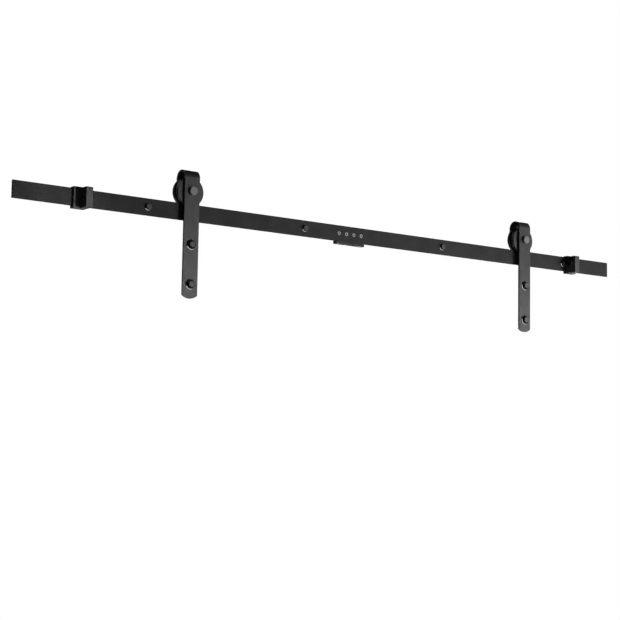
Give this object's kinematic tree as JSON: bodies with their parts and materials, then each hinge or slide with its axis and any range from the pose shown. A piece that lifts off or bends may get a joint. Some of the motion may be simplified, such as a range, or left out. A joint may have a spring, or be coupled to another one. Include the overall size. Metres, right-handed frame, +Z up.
{
  "type": "sliding barn door hardware",
  "caption": "Flat black rail on wall spacers that carries J-shaped strap hangers on grooved wheels between end stops, to hang and roll a sliding door.",
  "frame": {"origin": "on the wall plane, at the middle of the row of wall bolts", "axes": "+X along the rail to the right seen from the room, +Y into the wall, +Z up"},
  "size_m": [1.83, 0.1244, 0.3005],
  "materials": {
    "black_coat": "matt black powder coat",
    "black_fastener": "satin black",
    "bright_zinc": "bright zinc plate",
    "bearing_steel": "ground steel",
    "wheel_black": "satin black, turned",
    "black_rubber": "moulded rubber"
  },
  "bodies": {
    "rail": {"rail_left": "black_coat", "rail_right": "black_coat", "rail_joiner": "black_coat", "joiner_screws": "bright_zinc", "wall_spacers": "black_coat", "wall_bolts": "black_fastener", "wall_washers": "black_fastener"},
    "left_hanger": {"left_strap": "black_coat", "left_axle_bolt": "black_fastener", "left_axle_nut": "black_fastener", "left_bearing_inner_ring": "bearing_steel", "left_door_screws": "black_fastener", "left_door_washers": "black_fastener"},
    "right_hanger": {"right_strap": "black_coat", "right_axle_bolt": "black_fastener", "right_axle_nut": "black_fastener", "right_bearing_inner_ring": "bearing_steel", "right_door_screws": "black_fastener", "right_door_washers": "black_fastener"},
    "left_roller": {"left_wheel": "wheel_black", "left_bearing_outer_ring": "bearing_steel"},
    "right_roller": {"right_wheel": "wheel_black", "right_bearing_outer_ring": "bearing_steel"},
    "left_stop": {"left_stop_bracket": "black_coat", "left_stop_bumper": "black_rubber", "left_stop_set_screws": "black_fastener"},
    "right_stop": {"right_stop_bracket": "black_coat", "right_stop_bumper": "black_rubber", "right_stop_set_screws": "black_fastener"}
  },
  "joints": [
    {"name": "left_hanger_travel", "type": "slide", "parent": "rail", "child": "left_hanger", "axis": [1, 0, 0], "range_m": [-0.239, 0.433]},
    {"name": "right_hanger_travel", "type": "slide", "parent": "rail", "child": "right_hanger", "axis": [1, 0, 0], "range_m": [-0.54, 0.143]},
    {"name": "left_wheel_turn", "type": "hinge", "parent": "left_hanger", "child": "left_roller", "pos_m": [-0.553, -0.038, 0.0473], "axis": [0, 1, 0], "continuous": true},
    {"name": "right_wheel_turn", "type": "hinge", "parent": "right_hanger", "child": "right_roller", "pos_m": [0.5, -0.038, 0.0473], "axis": [0, 1, 0], "continuous": true},
    {"name": "left_stop_slide", "type": "slide", "parent": "rail", "child": "left_stop", "axis": [1, 0, 0], "range_m": [-0.14, 0]},
    {"name": "right_stop_slide", "type": "slide", "parent": "rail", "child": "right_stop", "axis": [1, 0, 0], "range_m": [0, 0.13]}
  ],
  "couplings": [
    {"joint": "left_wheel_turn", "follows": "left_hanger_travel", "rad_per_m": 37.037},
    {"joint": "right_wheel_turn", "follows": "right_hanger_travel", "rad_per_m": 37.037}
  ]
}
